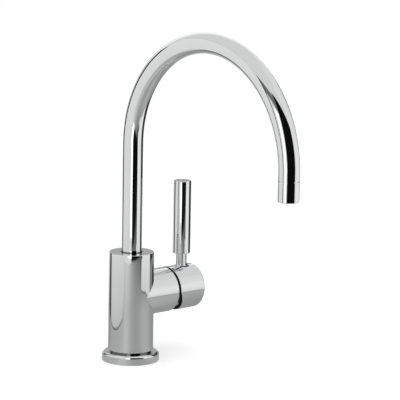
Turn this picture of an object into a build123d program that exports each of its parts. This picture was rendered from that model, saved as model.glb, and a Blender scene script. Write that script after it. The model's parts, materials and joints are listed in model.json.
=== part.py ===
from build123d import *
import math
import os

# Kitchen mixer tap: a round body on a base flange, a high-arc swivelling spout and
# one lever at the side that works a ceramic disc cartridge.
# The origin is the centre of the base flange's underside. +Z is up, the spout reaches
# out along -Y and the lever housing along +X. Lengths are in millimetres.

# Shared values
cut_overrun = 1.0
fit_gap = 0.06
seal_gap = 0.04

# Base flange and the seals under and inside it
flange_diameter = 62.0
flange_height = 10.0
flange_edge_radius = 3.2
gasket_inset = 3.0
gasket_width = 4.6
gasket_thickness = 1.8
foot_seal_section = 1.8

# Body: a turned column with a side barrel of the same diameter
body_diameter = 49.2
column_rise = 23.4
body_edge_radius = 0.7
foot_groove_height = 2.2
foot_groove_depth = 2.0
spigot_diameter = 39.2
spigot_lift = 1.4
barrel_height = 72.0
barrel_edge_radius = 0.5
barrel_lip = 0.6

# Water inlets and fixing stud in the underside of the body
inlet_thread_radius = 4.5
inlet_thread_depth = 12.0
inlet_channel_radius = 3.2
inlet_spread = 15.0
inlet_offset = 3.0
stud_hole_radius = 3.4
stud_hole_depth = 18.0
stud_offset = 13.5

# Spout tube, its foot and the socket that it turns in
tube_diameter = 22.0
tube_wall = 1.2
spout_reach = 240.0
arch_spring_height = 237.7
outlet_height = 209.1
socket_gap = 0.35
socket_depth = 30.0
chamber_depth = 4.0
ledge_width = 2.1
thrust_washer_thickness = 0.8
foot_length = 17.7
foot_spigot_length = 7.0
foot_bore_radius = 7.5
seal_section = 2.0
seal_groove_height = 2.5
seal_first_lift = 2.2
seal_pitch = 4.4
swivel_limit = 60.0
stop_screw_lift = 13.2
stop_screw_radius = 2.1
stop_tip_radius = 1.6
stop_tip_length = 3.0
stop_slot_gap = 0.3
stop_slot_depth = 1.7
screw_socket_radius = 1.45
screw_socket_depth = 2.6
stop_screw_sink = 1.0
glide_ring_height = 6.4
glide_ring_wall = 2.0
glide_ring_sink = 2.6
glide_ring_slit = 1.0

# Outlet sleeve and the aerator screwed into it
outlet_sleeve_length = 20.9
outlet_joint_gap = 0.8
outlet_neck_length = 8.0
outlet_mouth_chamfer = 0.6
aerator_wall = 1.9
aerator_inset = 0.9
aerator_length = 12.0
aerator_rim = 1.4
aerator_seal_thickness = 1.5
aerator_plate_thickness = 1.3
aerator_hole_radius = 0.62
aerator_hole_pitch = 2.1
aerator_hole_rings = 3
aerator_seat = 0.7

# Ceramic disc cartridge, stacked along the barrel from the floor of its bore
floor_wall = 2.65
cartridge_diameter = 34.8
cartridge_gap = 0.3
port_radius = 2.6
inlet_port_spread = 12.8
inlet_port_rise = 4.2
outlet_port_drop = 5.0
outlet_port_radius = 3.0
outlet_riser_offset = 5.5
port_seal_wall = 1.2
port_seal_thickness = 1.6
disc_seal_thickness = 1.1
peg_radius = 1.5
peg_length = 2.0
peg_spread = 26.0
cartridge_base_thickness = 6.0
base_rim_height = 3.0
housing_wall = 1.5
fixed_disc_diameter = 28.0
fixed_disc_thickness = 4.2
moving_disc_diameter = 21.6
moving_disc_thickness = 3.8
mixing_pocket_radius = 4.9
mixing_pocket_drop = 3.0
mixing_pocket_depth = 2.2
driver_thickness = 6.0
driver_flat_width = 19.0
driver_guide_gap = 0.2
rotor_gap = 1.2
rotor_flange_thickness = 2.7
rotor_flange_diameter = 28.0
rotor_diameter = 23.6
rotor_guide_length = 5.7
rotor_guide_wall = 3.6
rotor_guide_height = 14.0
rotor_proud = 1.0
housing_shoulder = 3.0
housing_neck_wall = 2.3
housing_neck_length = 10.0
nut_thread_diameter = 39.0
nut_thickness = 7.0
nut_notch_width = 4.0
nut_notch_depth = 2.4
nut_notch_count = 6

# Spindle: a ball-ended lever on a pivot pin
pivot_rise = 4.5
pivot_pin_radius = 1.5
pivot_pin_inset = 0.9
spindle_square = 7.0
spindle_bar_start = 4.5
spindle_cone_length = 3.0
spindle_neck_radius = 2.0
ball_radius = 3.0
ball_sink = 1.5
ball_gap = 0.12
ball_floor = 0.8
spindle_slot_height = 14.4

# Lever hub, stem and grip
tilt_limit = 20.0
hub_gap = 2.9
hub_length = 35.1
hub_wall = 4.1
hub_cavity_depth = 8.5
rim_ring_thickness = 0.8
rim_ring_lip = 0.45
hub_edge_radius = 1.4
spindle_engagement = 8.0
spindle_end_gap = 1.0
hub_screw_setback = 3.0
hub_screw_length = 6.0
hub_screw_radius = 2.1
screw_cap_radius = 3.1
screw_cap_thickness = 1.6
screw_cap_sink = 0.4
lever_setback = 14.2
stem_diameter = 11.8
stem_foot_radius = 7.4
stem_foot_height = 0.8
stem_foot_fillet = 1.3
stem_seat_gap = 0.3
stem_thread_radius = 4.0
stem_thread_length = 11.0
grip_diameter = 19.5
grip_start = 13.4
grip_length = 81.0
grip_edge_radius = 0.7
grip_socket_depth = 12.0

# Worked-out radii and heights of the body and spout
body_radius = body_diameter / 2
flange_radius = flange_diameter / 2
spigot_radius = spigot_diameter / 2
neck_radius = body_radius - foot_groove_depth
body_foot = flange_height + foot_groove_height
body_height = barrel_height + body_radius + column_rise
tube_radius = tube_diameter / 2
tube_bore_radius = tube_radius - tube_wall
arch_radius = spout_reach / 2
socket_radius = tube_radius + socket_gap
socket_floor = body_height - socket_depth
chamber_floor = socket_floor - chamber_depth
foot_base = socket_floor + thrust_washer_thickness
tube_foot = foot_base + foot_length
stop_screw_height = foot_base + stop_screw_lift
seal_groove_radius = socket_radius - seal_gap - seal_section
glide_top = body_height - glide_ring_sink
glide_base = glide_top - glide_ring_height
glide_radius = socket_radius + glide_ring_wall
sleeve_top = outlet_height + outlet_sleeve_length
tube_end = sleeve_top + outlet_joint_gap
aerator_radius = tube_radius - aerator_wall
aerator_base = outlet_height + aerator_inset
aerator_top = aerator_base + aerator_length
aerator_seal_top = aerator_top + aerator_seal_thickness
aerator_bore_radius = aerator_radius - aerator_rim

# Worked-out stations along the barrel, measured from the column's axis
floor_at = socket_radius + floor_wall
fixed_disc_at = floor_at + cartridge_base_thickness
moving_disc_at = fixed_disc_at + fixed_disc_thickness
driver_at = moving_disc_at + moving_disc_thickness
driver_top = driver_at + driver_thickness
rotor_at = driver_top + rotor_gap
rotor_flange_top = rotor_at + rotor_flange_thickness
shoulder_at = rotor_flange_top + fit_gap
nut_at = shoulder_at + housing_shoulder
housing_end = nut_at + housing_neck_length
rotor_end = housing_end + rotor_proud
nut_end = nut_at + nut_thickness
barrel_reach = nut_end + barrel_lip
pivot_at = nut_at + pivot_rise
ball_at = driver_top - ball_sink
rim_at = barrel_reach + hub_gap
hub_end = rim_at + hub_length
cavity_end = rim_at + hub_cavity_depth
spindle_end = cavity_end + spindle_engagement
hub_screw_at = spindle_end - hub_screw_setback
lever_at = hub_end - lever_setback
cartridge_radius = cartridge_diameter / 2
housing_bore_radius = cartridge_radius - housing_wall
cartridge_bore_radius = cartridge_radius + cartridge_gap
rotor_radius = rotor_diameter / 2
rotor_bore_radius = rotor_radius + fit_gap
housing_neck_radius = rotor_bore_radius + housing_neck_wall
nut_thread_radius = nut_thread_diameter / 2
stem_radius = stem_diameter / 2
grip_radius = grip_diameter / 2
hub_cavity_radius = body_radius - hub_wall
rim_recess_radius = body_radius - rim_ring_lip
stem_seat_rise = math.sqrt(body_radius**2 - (stem_foot_radius + stem_seat_gap) ** 2)
stem_seat_height = barrel_height + stem_seat_rise
grip_base = barrel_height + body_radius + grip_start

# Ports as (across, up) places on the cartridge's axis, with their radii
inlet_ports = [(-inlet_port_spread / 2, inlet_port_rise), (inlet_port_spread / 2, inlet_port_rise)]
outlet_port = (0, -outlet_port_drop)
ports = [(place, port_radius) for place in inlet_ports] + [(outlet_port, outlet_port_radius)]

# Local frame of the barrel: its Z runs along the barrel, its X across and its Y up
barrel_frame = Plane(origin=(0, 0, barrel_height), x_dir=(0, 1, 0), z_dir=(1, 0, 0))


def turned(corners):
    """Solid turned about Z from a closed outline of (radius, height) corners."""
    outline = Polyline([(radius, 0, height) for radius, height in corners], close=True)
    return revolve(make_face(outline), axis=Axis.Z)


def ring(outer, inner, low, high):
    """Plain turned ring, or a disc where the inner radius is zero."""
    return turned([(inner, low), (outer, low), (outer, high), (inner, high)])


def round_ring(middle, section, height):
    """Ring of round section about Z, such as an O-ring."""
    return Pos(0, 0, height) * Torus(middle, section)


def drilled(place, direction, radius, length):
    """Cylinder that starts at a place and runs along a direction."""
    start = Plane(origin=place, z_dir=direction)
    return start * Cylinder(radius, length, align=(Align.CENTER, Align.CENTER, Align.MIN))


def hexagon_socket(radius, depth):
    """Hexagon key recess from the plane z = 0 downwards, with an overrun above it."""
    sketch = RegularPolygon(radius, side_count=6)
    return Pos(0, 0, -depth) * extrude(sketch, amount=depth + cut_overrun)


def circles_at(part, height):
    """Circular edges of a part that lie at one height."""
    near = fit_gap / 2
    found = part.edges().filter_by(GeomType.CIRCLE)
    return found.filter_by_position(Axis.Z, height - near, height + near)


def on_barrel(part):
    """Moves a part from its own Z axis to the axis of the barrel."""
    return barrel_frame * part


def make_base_flange():
    """Round flange that covers the tap hole, grooved for its gasket and the foot seal."""
    bore = spigot_radius + fit_gap
    disc = ring(flange_radius, bore, 0, flange_height)
    outer_edge = circles_at(disc, flange_height).sort_by(SortBy.RADIUS)[-1]
    disc = fillet(outer_edge, radius=flange_edge_radius)
    gasket_outer = flange_radius - gasket_inset
    gasket_groove = ring(gasket_outer, gasket_outer - gasket_width, -cut_overrun, gasket_thickness)
    seal_middle = flange_height / 2
    seal_groove = ring(
        spigot_radius + foot_seal_section,
        spigot_radius - cut_overrun,
        seal_middle - foot_seal_section / 2 - fit_gap,
        seal_middle + foot_seal_section / 2 + fit_gap,
    )
    return disc - gasket_groove - seal_groove


def make_base_gasket():
    """Rubber ring flush with the underside of the flange."""
    outer = flange_radius - gasket_inset
    return ring(outer, outer - gasket_width, 0, gasket_thickness)


def make_foot_seal():
    """O-ring between the body's spigot and the flange."""
    section = foot_seal_section / 2
    return round_ring(spigot_radius + section, section, flange_height / 2)


def body_waterways():
    """Drillings that join the inlets, the cartridge floor and the spout chamber."""
    port_height = barrel_height + inlet_port_rise
    cuts = []
    for across, rise in inlet_ports:
        side = math.copysign(inlet_spread / 2, across)
        mouth = (inlet_offset, side, spigot_lift - cut_overrun)
        cuts.append(drilled(mouth, (0, 0, 1), inlet_thread_radius, inlet_thread_depth + cut_overrun))
        riser_length = port_height - mouth[2]
        cuts.append(drilled(mouth, (0, 0, 1), inlet_channel_radius, riser_length))
        start = (floor_at + cut_overrun, across, barrel_height + rise)
        cuts.append(drilled(start, (-1, 0, 0), port_radius, start[0] - inlet_offset))
    outlet_height_at_floor = barrel_height - outlet_port_drop
    start = (floor_at + cut_overrun, 0, outlet_height_at_floor)
    reach = start[0] + outlet_riser_offset
    cuts.append(drilled(start, (-1, 0, 0), outlet_port_radius, reach))
    riser_foot = (-outlet_riser_offset, 0, outlet_height_at_floor)
    riser_length = chamber_floor - outlet_height_at_floor + cut_overrun
    cuts.append(drilled(riser_foot, (0, 0, 1), outlet_port_radius, riser_length))
    return cuts


def make_mixer_body():
    """Cast body: column, side barrel, spout socket, cartridge bore and waterways."""
    column = turned(
        [
            (0, spigot_lift),
            (spigot_radius, spigot_lift),
            (spigot_radius, flange_height),
            (neck_radius, flange_height),
            (neck_radius, body_foot),
            (body_radius, body_foot),
            (body_radius, body_height),
            (0, body_height),
        ]
    )
    column = fillet(circles_at(column, body_height), radius=body_edge_radius)
    barrel = ring(body_radius, 0, 0, barrel_reach)
    barrel = fillet(circles_at(barrel, barrel_reach), radius=barrel_edge_radius)
    casting = column + on_barrel(barrel)
    socket = ring(socket_radius, 0, socket_floor, body_height + cut_overrun)
    chamber = ring(socket_radius - ledge_width, 0, chamber_floor, socket_floor + cut_overrun)
    glide_recess = ring(glide_radius, 0, glide_base, glide_top)
    cartridge_bore = on_barrel(ring(cartridge_bore_radius, 0, floor_at, barrel_reach + cut_overrun))
    thread_start = nut_at - cut_overrun
    nut_thread = on_barrel(ring(nut_thread_radius, 0, thread_start, barrel_reach + cut_overrun))
    casting = casting - socket - chamber - glide_recess - cartridge_bore - nut_thread
    for cut in body_waterways():
        casting = casting - cut
    stud_mouth = (-stud_offset, 0, spigot_lift - cut_overrun)
    casting = casting - drilled(stud_mouth, (0, 0, 1), stud_hole_radius, stud_hole_depth + cut_overrun)
    for side in (-1, 1):
        peg_hole = Pos(0, side * peg_spread / 2, floor_at - peg_length - fit_gap) * Cylinder(
            peg_radius + fit_gap,
            peg_length + fit_gap + cut_overrun,
            align=(Align.CENTER, Align.CENTER, Align.MIN),
        )
        casting = casting - on_barrel(peg_hole)
    screw_mouth = (0, body_radius + cut_overrun, stop_screw_height)
    casting = casting - drilled(screw_mouth, (0, -1, 0), stop_screw_radius, body_radius)
    return casting


def make_thrust_washer():
    """Plastic washer on the ledge of the socket, under the spout's foot."""
    return ring(socket_radius - fit_gap, socket_radius - ledge_width, socket_floor, foot_base)


def make_spout_foot():
    """Brass plug in the lower end of the tube, grooved for two seals and the stop screw."""
    foot = ring(tube_radius, foot_bore_radius, foot_base, tube_foot)
    spigot_outer = tube_bore_radius - fit_gap
    foot = foot + ring(spigot_outer, foot_bore_radius, tube_foot, tube_foot + foot_spigot_length)
    for index in range(2):
        middle = foot_base + seal_first_lift + seal_groove_height / 2 + index * seal_pitch
        low = middle - seal_groove_height / 2
        foot = foot - ring(tube_radius + cut_overrun, seal_groove_radius, low, low + seal_groove_height)
    return foot - stop_slot()


def stop_slot():
    """Part-turn slot at the back of the foot in which the tip of the stop screw runs."""
    slot_half = stop_tip_radius + stop_slot_gap
    slot_floor = tube_radius - stop_slot_depth
    low = stop_screw_height - slot_half
    high = stop_screw_height + slot_half
    corners = [(slot_floor, low), (tube_radius + cut_overrun, low)]
    corners += [(tube_radius + cut_overrun, high), (slot_floor, high)]
    outline = Polyline([(radius, 0, height) for radius, height in corners], close=True)
    end_allowance = math.degrees(math.asin(slot_half / slot_floor))
    half_arc = swivel_limit + end_allowance
    sector = revolve(make_face(outline), axis=Axis.Z, revolution_arc=2 * half_arc)
    return Rot(0, 0, 90 - half_arc) * sector


def make_spout_seals():
    """Two O-rings on the spout's foot."""
    middle_radius = seal_groove_radius + seal_section / 2
    first = foot_base + seal_first_lift + seal_groove_height / 2
    rings = [round_ring(middle_radius, seal_section / 2, first + index * seal_pitch) for index in range(2)]
    return Compound(children=rings)


def make_stop_screw():
    """Dog-point grub screw in the back of the body that limits the spout's swing."""
    tip_end = tube_radius - stop_slot_depth + stop_slot_gap
    shank_start = tip_end + stop_tip_length
    head_end = body_radius - stop_screw_sink
    tip = ring(stop_tip_radius, 0, tip_end, shank_start)
    shank = ring(stop_screw_radius, 0, shank_start, head_end)
    key = Pos(0, 0, head_end) * hexagon_socket(screw_socket_radius, screw_socket_depth)
    screw = tip + shank - key
    frame = Plane(origin=(0, 0, stop_screw_height), z_dir=(0, 1, 0))
    return frame * screw


def make_glide_ring():
    """Split plastic ring that guides the tube at the top of its socket."""
    whole = ring(glide_radius - fit_gap, tube_radius + fit_gap, glide_base, glide_top)
    slit = Pos(0, glide_radius, (glide_base + glide_top) / 2) * Box(
        glide_ring_slit, 2 * glide_radius, glide_ring_height + cut_overrun
    )
    return whole - slit


def make_spout_tube():
    """Thin tube: upright column, half-circle arch and a short drop to the outlet."""
    column = ring(tube_radius, tube_bore_radius, tube_foot, arch_spring_height)
    section_plane = Plane(origin=(0, 0, arch_spring_height), z_dir=(0, 0, 1))
    annulus = section_plane * (Circle(tube_radius) - Circle(tube_bore_radius))
    bend_axis = Axis((0, -arch_radius, arch_spring_height), (1, 0, 0))
    arch = revolve(annulus, axis=bend_axis, revolution_arc=180)
    drop = Pos(0, -spout_reach, 0) * ring(tube_radius, tube_bore_radius, tube_end, arch_spring_height)
    return column + arch + drop


def at_outlet(part):
    """Moves a part from the Z axis to the axis of the outlet."""
    return Pos(0, -spout_reach, 0) * part


def make_outlet_sleeve():
    """End sleeve of the spout with a neck in the tube and a recess for the aerator."""
    neck_radius_in_tube = tube_bore_radius - fit_gap
    neck_bore = aerator_bore_radius - aerator_seat
    sleeve = turned(
        [
            (aerator_radius, outlet_height),
            (tube_radius, outlet_height),
            (tube_radius, sleeve_top),
            (neck_radius_in_tube, sleeve_top),
            (neck_radius_in_tube, tube_end + outlet_neck_length),
            (neck_bore, tube_end + outlet_neck_length),
            (neck_bore, aerator_seal_top),
            (aerator_radius, aerator_seal_top),
        ]
    )
    mouth = circles_at(sleeve, outlet_height)
    return at_outlet(chamfer(mouth, length=outlet_mouth_chamfer))


def make_aerator_body():
    """Threaded plastic shell of the aerator, slotted below for a key."""
    shell = ring(aerator_radius, aerator_bore_radius, aerator_base, aerator_top)
    lip_top = aerator_base + aerator_seat
    lip = ring(aerator_bore_radius, aerator_bore_radius - aerator_seat, aerator_base, lip_top)
    return at_outlet(shell + lip)


def hole_places():
    """Places of the holes in an aerator plate: rings of six, twelve and so on, round one."""
    places = [(0, 0)]
    for ring_number in range(1, aerator_hole_rings + 1):
        radius = ring_number * aerator_hole_pitch
        count = 6 * ring_number
        for index in range(count):
            angle = 2 * math.pi * index / count
            places.append((radius * math.cos(angle), radius * math.sin(angle)))
    return places


def perforated_plate(low):
    """Round plate of the aerator with its rings of holes."""
    plate = ring(aerator_bore_radius, 0, low, low + aerator_plate_thickness)
    holes = [
        Pos(x, y, low + aerator_plate_thickness / 2)
        * Cylinder(aerator_hole_radius, aerator_plate_thickness + cut_overrun)
        for x, y in hole_places()
    ]
    return at_outlet(plate - holes)


def make_aerator_grid():
    """Plate at the mouth of the aerator that shapes the stream."""
    return perforated_plate(aerator_base + aerator_seat)


def make_aerator_filter():
    """Plate at the top of the aerator that catches grit."""
    return perforated_plate(aerator_top - aerator_plate_thickness)


def make_aerator_seal():
    """Flat rubber washer above the aerator."""
    return at_outlet(ring(aerator_radius, aerator_bore_radius, aerator_top, aerator_seal_top))


def make_cartridge_base():
    """Plastic base of the cartridge with ports, seal pockets and two locating pegs."""
    base = ring(cartridge_radius, 0, floor_at, fixed_disc_at)
    fixed_disc_radius = fixed_disc_diameter / 2
    rim_inner = fixed_disc_radius + fit_gap
    rim_outer = housing_bore_radius - fit_gap
    base = base + ring(rim_outer, rim_inner, fixed_disc_at, fixed_disc_at + base_rim_height)
    for side in (-1, 1):
        peg = ring(peg_radius, 0, floor_at - peg_length, floor_at + cut_overrun)
        base = base + Pos(0, side * peg_spread / 2, 0) * peg
    for (across, rise), radius in ports:
        pocket = radius + port_seal_wall
        port = ring(radius, 0, floor_at - cut_overrun, fixed_disc_at + cut_overrun)
        lower = ring(pocket, 0, floor_at - cut_overrun, floor_at + port_seal_thickness)
        upper = ring(pocket, 0, fixed_disc_at - disc_seal_thickness, fixed_disc_at + cut_overrun)
        base = base - Pos(across, rise, 0) * (port + lower + upper)
    return on_barrel(base)


def seal_set(low, high):
    """One flat rubber ring round each port, between two stations of the barrel."""
    seals = []
    for (across, rise), radius in ports:
        seals.append(on_barrel(Pos(across, rise, 0) * ring(radius + port_seal_wall, radius, low, high)))
    return Compound(children=seals)


def make_port_seals():
    """Seals between the cartridge and the floor of its bore."""
    return seal_set(floor_at, floor_at + port_seal_thickness)


def make_disc_seals():
    """Seals between the cartridge's base and the fixed disc."""
    return seal_set(fixed_disc_at - disc_seal_thickness, fixed_disc_at)


def make_fixed_disc():
    """Ceramic disc with the three ports."""
    disc = ring(fixed_disc_diameter / 2, 0, fixed_disc_at, moving_disc_at)
    for (across, rise), radius in ports:
        port = ring(radius, 0, fixed_disc_at - cut_overrun, moving_disc_at + cut_overrun)
        disc = disc - Pos(across, rise, 0) * port
    return on_barrel(disc)


def make_moving_disc():
    """Ceramic disc whose pocket joins the ports as it slides and turns."""
    disc = ring(moving_disc_diameter / 2, 0, moving_disc_at, driver_at)
    pocket_top = moving_disc_at + mixing_pocket_depth
    pocket = ring(mixing_pocket_radius, 0, moving_disc_at - cut_overrun, pocket_top)
    return on_barrel(disc - Pos(0, -mixing_pocket_drop, 0) * pocket)


def make_disc_driver():
    """Plastic driver on the moving disc, with flats for its guides and a well for the ball."""
    puck = ring(moving_disc_diameter / 2, 0, driver_at, driver_top)
    middle = (driver_at + driver_top) / 2
    guide_block = Pos(0, 0, middle) * Box(driver_flat_width, moving_disc_diameter, driver_thickness)
    well_floor = ball_at - ball_radius - ball_floor + ball_gap
    well = ring(ball_radius + ball_gap, 0, well_floor, driver_top + cut_overrun)
    return on_barrel((puck & guide_block) - well)


def make_cartridge_housing():
    """Plastic case of the cartridge: sleeve, shoulder under the nut, and neck."""
    case = turned(
        [
            (housing_bore_radius, fixed_disc_at),
            (cartridge_radius, fixed_disc_at),
            (cartridge_radius, nut_at),
            (housing_neck_radius, nut_at),
            (housing_neck_radius, housing_end),
            (rotor_bore_radius, housing_end),
            (rotor_bore_radius, shoulder_at),
            (housing_bore_radius, shoulder_at),
        ]
    )
    return on_barrel(case)


def make_cartridge_rotor():
    """Turning carrier of the cartridge, with the pivot of the spindle and two guides."""
    rotor = ring(rotor_radius, 0, rotor_at, rotor_end)
    rotor = rotor + ring(rotor_flange_diameter / 2, 0, rotor_at, rotor_flange_top)
    guide_inner = driver_flat_width / 2 + driver_guide_gap
    guide_middle = guide_inner + rotor_guide_wall / 2
    guide_bottom = rotor_at - rotor_guide_length
    for side in (-1, 1):
        guide = Box(
            rotor_guide_wall,
            rotor_guide_height,
            rotor_guide_length,
            align=(Align.CENTER, Align.CENTER, Align.MIN),
        )
        rotor = rotor + Pos(side * guide_middle, 0, guide_bottom) * guide
    slot_width = spindle_square + 2 * fit_gap
    slot_length = rotor_end - rotor_at + 2 * cut_overrun
    slot = Pos(0, 0, (rotor_at + rotor_end) / 2) * Box(slot_width, spindle_slot_height, slot_length)
    pin_hole = Pos(0, 0, pivot_at) * Rot(0, 90, 0) * Cylinder(pivot_pin_radius, rotor_diameter)
    return on_barrel(rotor - slot - pin_hole)


def make_pivot_pin():
    """Steel pin across the rotor on which the spindle tilts."""
    length = rotor_diameter - 2 * pivot_pin_inset
    return on_barrel(Pos(0, 0, pivot_at) * Rot(0, 90, 0) * Cylinder(pivot_pin_radius, length))


def make_spindle():
    """Steel spindle: square bar for the hub, pivot hole, neck and driving ball."""
    bar_start = pivot_at - spindle_bar_start
    bar_length = spindle_end - bar_start
    bar = Pos(0, 0, bar_start + bar_length / 2) * Box(spindle_square, spindle_square, bar_length)
    cone_start = bar_start - spindle_cone_length
    cone = turned(
        [
            (0, cone_start),
            (spindle_neck_radius, cone_start),
            (spindle_square / 2, bar_start),
            (0, bar_start),
        ]
    )
    neck = ring(spindle_neck_radius, 0, ball_at, cone_start)
    ball = Pos(0, 0, ball_at) * Sphere(ball_radius)
    hole = Rot(0, 90, 0) * Cylinder(pivot_pin_radius + fit_gap, spindle_square + cut_overrun)
    return on_barrel(bar + cone + neck + ball - Pos(0, 0, pivot_at) * hole)


def make_cartridge_nut():
    """Brass ring nut that holds the cartridge down, notched for its key."""
    nut = ring(nut_thread_radius, housing_neck_radius + cartridge_gap, nut_at, nut_end)
    for index in range(nut_notch_count):
        notch = Pos(nut_thread_radius, 0, nut_end) * Box(
            2 * nut_notch_width, nut_notch_width, 2 * nut_notch_depth
        )
        inward = Pos(-housing_neck_wall, 0, 0) * notch
        nut = nut - Rot(0, 0, index * 360 / nut_notch_count) * inward
    return on_barrel(nut)


def rim_bevel():
    """Wedge that bevels the lower half of the hub's rim so that the hub can tilt."""
    drop = body_radius + cut_overrun
    run = drop * math.tan(math.radians(tilt_limit))
    outline = Polyline(
        [
            (rim_at, 0, barrel_height),
            (rim_at - cut_overrun, 0, barrel_height),
            (rim_at - cut_overrun, 0, barrel_height - drop),
            (rim_at + run, 0, barrel_height - drop),
        ],
        close=True,
    )
    return extrude(make_face(outline), amount=body_diameter, both=True)


def rim_band(outer):
    """Band as thick as the rim ring, which follows the hub's rim and its bevel."""
    band = on_barrel(ring(outer, hub_cavity_radius, rim_at, hub_end)) - rim_bevel()
    return band - Pos(rim_ring_thickness, 0, 0) * band


def make_rim_ring():
    """Black ring let into the hub's rim behind a thin lip."""
    return rim_band(rim_recess_radius - seal_gap)


def make_lever_hub():
    """Hollow round hub of the lever, with a bevelled rim and a socket for the spindle."""
    hub = ring(body_radius, 0, rim_at, hub_end)
    hub = fillet(circles_at(hub, hub_end), radius=hub_edge_radius)
    hub = hub - ring(hub_cavity_radius, 0, rim_at - cut_overrun, cavity_end)
    socket_depth_in_hub = spindle_engagement + spindle_end_gap
    socket = Pos(0, 0, cavity_end + socket_depth_in_hub / 2) * Box(
        spindle_square, spindle_square, socket_depth_in_hub
    )
    hub = on_barrel(hub - socket) - rim_bevel() - rim_band(rim_recess_radius)
    seat = (lever_at, 0, stem_seat_height)
    spot_face = drilled(seat, (0, 0, 1), stem_foot_radius + stem_seat_gap, body_radius)
    stem_hole = drilled(seat, (0, 0, -1), stem_thread_radius, stem_thread_length)
    screw_mouth = (hub_screw_at, 0, barrel_height - body_radius - cut_overrun)
    screw_hole = drilled(screw_mouth, (0, 0, 1), hub_screw_radius, body_radius)
    cap_depth = cut_overrun + screw_cap_sink + screw_cap_thickness
    cap_hole = drilled(screw_mouth, (0, 0, 1), screw_cap_radius, cap_depth)
    return hub - spot_face - stem_hole - screw_hole - cap_hole


def make_hub_screw():
    """Grub screw that clamps the hub to the spindle from below."""
    tip = barrel_height - spindle_square / 2
    screw = ring(hub_screw_radius, 0, 0, hub_screw_length)
    key = Pos(0, 0, hub_screw_length) * hexagon_socket(screw_socket_radius, screw_socket_depth)
    frame = Plane(origin=(hub_screw_at, 0, tip), z_dir=(0, 0, -1))
    return frame * (screw - key)


def make_screw_cap():
    """Small plug that hides the grub screw."""
    top = barrel_height - body_radius + screw_cap_sink + screw_cap_thickness
    plug = ring(screw_cap_radius, 0, 0, screw_cap_thickness)
    frame = Plane(origin=(hub_screw_at, 0, top), z_dir=(0, 0, -1))
    return frame * plug


def make_lever_stem():
    """Thin stem with a flared foot on the hub and a threaded end inside it."""
    top = grip_base + grip_socket_depth
    shaft = ring(stem_radius, 0, stem_seat_height, top)
    collar_top = stem_seat_height + stem_foot_height
    shaft = shaft + ring(stem_foot_radius, 0, stem_seat_height, collar_top)
    crease = circles_at(shaft, collar_top).sort_by(SortBy.RADIUS)[0]
    shaft = fillet(crease, radius=stem_foot_fillet)
    thread = ring(stem_thread_radius, 0, stem_seat_height - stem_thread_length, stem_seat_height)
    return Pos(lever_at, 0, 0) * (shaft + thread)


def make_lever_grip():
    """Thicker round grip with a blind socket for the stem."""
    top = grip_base + grip_length
    grip = ring(grip_radius, 0, grip_base, top)
    edges = circles_at(grip, top) + circles_at(grip, grip_base)
    grip = fillet(edges, radius=grip_edge_radius)
    socket = ring(stem_radius, 0, grip_base - cut_overrun, grip_base + grip_socket_depth)
    return Pos(lever_at, 0, 0) * (grip - socket)


makers = {
    "base_flange": make_base_flange,
    "base_gasket": make_base_gasket,
    "foot_seal": make_foot_seal,
    "mixer_body": make_mixer_body,
    "thrust_washer": make_thrust_washer,
    "glide_ring": make_glide_ring,
    "swivel_stop_screw": make_stop_screw,
    "spout_foot": make_spout_foot,
    "spout_seals": make_spout_seals,
    "spout_tube": make_spout_tube,
    "outlet_sleeve": make_outlet_sleeve,
    "aerator_body": make_aerator_body,
    "aerator_grid": make_aerator_grid,
    "aerator_filter": make_aerator_filter,
    "aerator_seal": make_aerator_seal,
    "port_seals": make_port_seals,
    "cartridge_base": make_cartridge_base,
    "disc_seals": make_disc_seals,
    "fixed_disc": make_fixed_disc,
    "moving_disc": make_moving_disc,
    "disc_driver": make_disc_driver,
    "cartridge_housing": make_cartridge_housing,
    "cartridge_rotor": make_cartridge_rotor,
    "pivot_pin": make_pivot_pin,
    "spindle": make_spindle,
    "cartridge_nut": make_cartridge_nut,
    "lever_hub": make_lever_hub,
    "rim_ring": make_rim_ring,
    "hub_screw": make_hub_screw,
    "screw_cap": make_screw_cap,
    "lever_stem": make_lever_stem,
    "lever_grip": make_lever_grip,
}

os.makedirs("parts", exist_ok=True)
for name, make in makers.items():
    export_step(make(), f"parts/{name}.step")
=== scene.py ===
# %% [markdown]
# # A single-lever kitchen mixer in polished chrome
# A round body on a flange carries a tall swan-neck spout that swivels, and a side barrel carries
# a lever on a tilting hub that works a ceramic cartridge. The engineering model gives every place
# and size, and this file gives the tap its looks: smooth chrome surfaces, the plastics, rubber,
# brass and ceramic inside, and a small photographic studio, because polished chrome has no
# colour of its own and shows what stands round it.

# %% Load the frame
import json
import math
import bpy
import numpy as np
from mathutils import Matrix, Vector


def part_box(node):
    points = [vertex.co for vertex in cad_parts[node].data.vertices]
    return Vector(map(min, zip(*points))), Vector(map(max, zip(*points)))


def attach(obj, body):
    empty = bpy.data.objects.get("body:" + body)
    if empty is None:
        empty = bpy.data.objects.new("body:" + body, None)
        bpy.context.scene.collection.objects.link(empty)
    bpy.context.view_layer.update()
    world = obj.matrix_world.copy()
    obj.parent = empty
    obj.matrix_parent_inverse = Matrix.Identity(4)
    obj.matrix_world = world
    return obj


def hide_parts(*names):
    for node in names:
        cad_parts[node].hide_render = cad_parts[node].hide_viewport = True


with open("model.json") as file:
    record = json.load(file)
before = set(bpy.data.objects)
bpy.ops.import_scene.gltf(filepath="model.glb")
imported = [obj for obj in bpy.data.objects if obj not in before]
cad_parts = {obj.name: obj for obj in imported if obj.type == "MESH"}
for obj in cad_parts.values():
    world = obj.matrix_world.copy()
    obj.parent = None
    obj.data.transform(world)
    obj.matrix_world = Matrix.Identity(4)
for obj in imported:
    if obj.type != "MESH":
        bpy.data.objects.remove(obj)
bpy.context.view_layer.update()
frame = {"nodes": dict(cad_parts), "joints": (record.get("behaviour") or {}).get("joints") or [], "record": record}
scene = bpy.context.scene
mm = 0.001

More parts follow.
